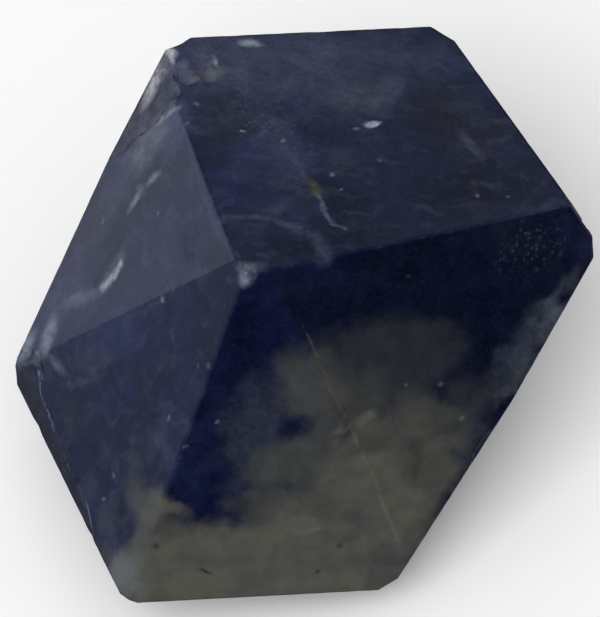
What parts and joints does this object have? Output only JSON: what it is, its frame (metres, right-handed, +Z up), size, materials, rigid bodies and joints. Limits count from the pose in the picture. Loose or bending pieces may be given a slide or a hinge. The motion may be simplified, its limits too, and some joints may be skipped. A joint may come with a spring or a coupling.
{
  "type": "polished sodalite stone",
  "caption": "Blue and grey sodalite, hand cut to flat facets with worn edges and small chips; it rests on a flat facet.",
  "frame": {"origin": "under the middle of the stone's box, on the plane of its resting facet", "axes": "+Z up, -Y to the front, where the peak's front slopes face; +X to the right"},
  "size_m": [0.0348, 0.0332, 0.0245],
  "materials": {
    "sodalite": "satin"
  },
  "bodies": {
    "root": {"sodalite_stone": "sodalite"}
  },
  "joints": []
}
